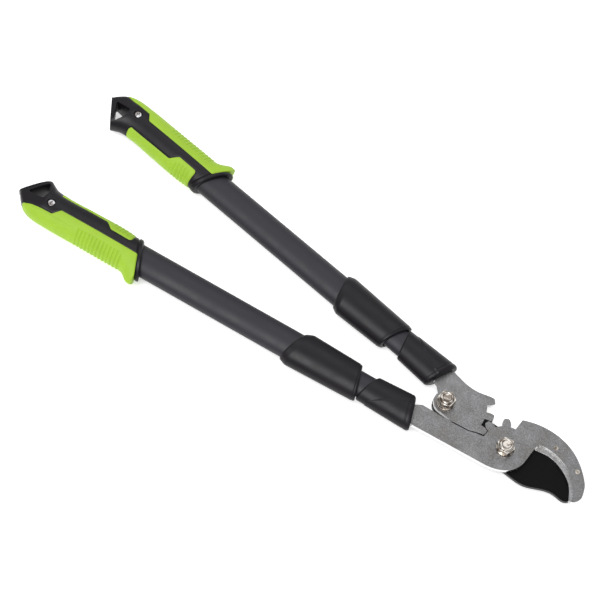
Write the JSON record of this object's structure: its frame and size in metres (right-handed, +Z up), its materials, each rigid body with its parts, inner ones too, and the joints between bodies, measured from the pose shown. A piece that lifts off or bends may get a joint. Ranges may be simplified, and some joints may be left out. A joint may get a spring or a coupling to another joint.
{
  "type": "bypass loppers",
  "caption": "Bypass loppers with a hooked jaw, a black blade driven by a gear sector, and telescopic oval handles with soft green grips.",
  "frame": {"origin": "on the main pivot's axis, on the flat surface that the tool lies on, at the pivot bolt head's flat underside", "axes": "+X along the tool's length towards the jaws, +Y towards the lever (upper) handle, +Z up, away from the surface"},
  "size_m": [0.6782, 0.1922, 0.031],
  "materials": {
    "blasted_steel": "bead-blasted, speckled",
    "ground_steel": "ground",
    "coated_blade": "matt black non-stick coating",
    "rivet_brass": "satin",
    "nickel_plate": "bright nickel plate",
    "bearing_plastic": "acetal",
    "moulded_black": "fine moulded texture",
    "soft_green": "soft overmould, lime green",
    "coated_tube": "satin powder coat",
    "zinc_screw": "bright zinc",
    "plain_steel": "plain"
  },
  "bodies": {
    "hook": {"hook_plate": "blasted_steel", "counter_blade": "ground_steel", "counter_blade_rivets": "rivet_brass", "pivot_bolt": "nickel_plate", "pivot_head_washer": "nickel_plate", "pivot_friction_disc": "bearing_plastic", "pivot_top_washer": "nickel_plate", "pivot_nut": "nickel_plate", "lower_ferrule": "moulded_black", "lower_inner_tube": "coated_tube", "lower_tang_insert": "bearing_plastic", "lower_tang_pins": "plain_steel", "lower_tube_stop": "bearing_plastic"},
    "blade": {"blade": "coated_blade"},
    "lever": {"lever_plate": "blasted_steel", "lever_bolt": "nickel_plate", "lever_head_washer": "nickel_plate", "lever_friction_disc": "bearing_plastic", "lever_top_washer": "nickel_plate", "lever_nut": "nickel_plate", "upper_ferrule": "moulded_black", "upper_inner_tube": "coated_tube", "upper_tang_insert": "bearing_plastic", "upper_tang_pins": "plain_steel", "upper_tube_stop": "bearing_plastic"},
    "lower_handle": {"lower_grip_core": "moulded_black", "lower_inner_pad": "soft_green", "lower_outer_pad": "soft_green", "lower_outer_tube": "coated_tube", "lower_glide_bush": "bearing_plastic", "lower_collar": "moulded_black", "lower_grip_screw": "zinc_screw"},
    "upper_handle": {"upper_grip_core": "moulded_black", "upper_inner_pad": "soft_green", "upper_outer_pad": "soft_green", "upper_outer_tube": "coated_tube", "upper_glide_bush": "bearing_plastic", "upper_collar": "moulded_black", "upper_grip_screw": "zinc_screw"}
  },
  "joints": [
    {"name": "blade_pivot", "type": "hinge", "parent": "hook", "child": "blade", "pos_m": [0, 0, 0.0155], "axis": [0, 0, -1], "range_deg": [0, 52]},
    {"name": "lever_pivot", "type": "hinge", "parent": "blade", "child": "lever", "pos_m": [-0.0784, 0.0045, 0.0155], "axis": [0, 0, -1], "range_deg": [0, 29.64]},
    {"name": "lower_extension", "type": "slide", "parent": "hook", "child": "lower_handle", "axis": [-0.9945, -0.1045, 0], "range_m": [0, 0.2]},
    {"name": "upper_extension", "type": "slide", "parent": "lever", "child": "upper_handle", "axis": [-0.9945, 0.1045, 0], "range_m": [0, 0.2]}
  ],
  "couplings": [
    {"joint": "lever_pivot", "follows": "blade_pivot", "ratio": 0.56967}
  ]
}
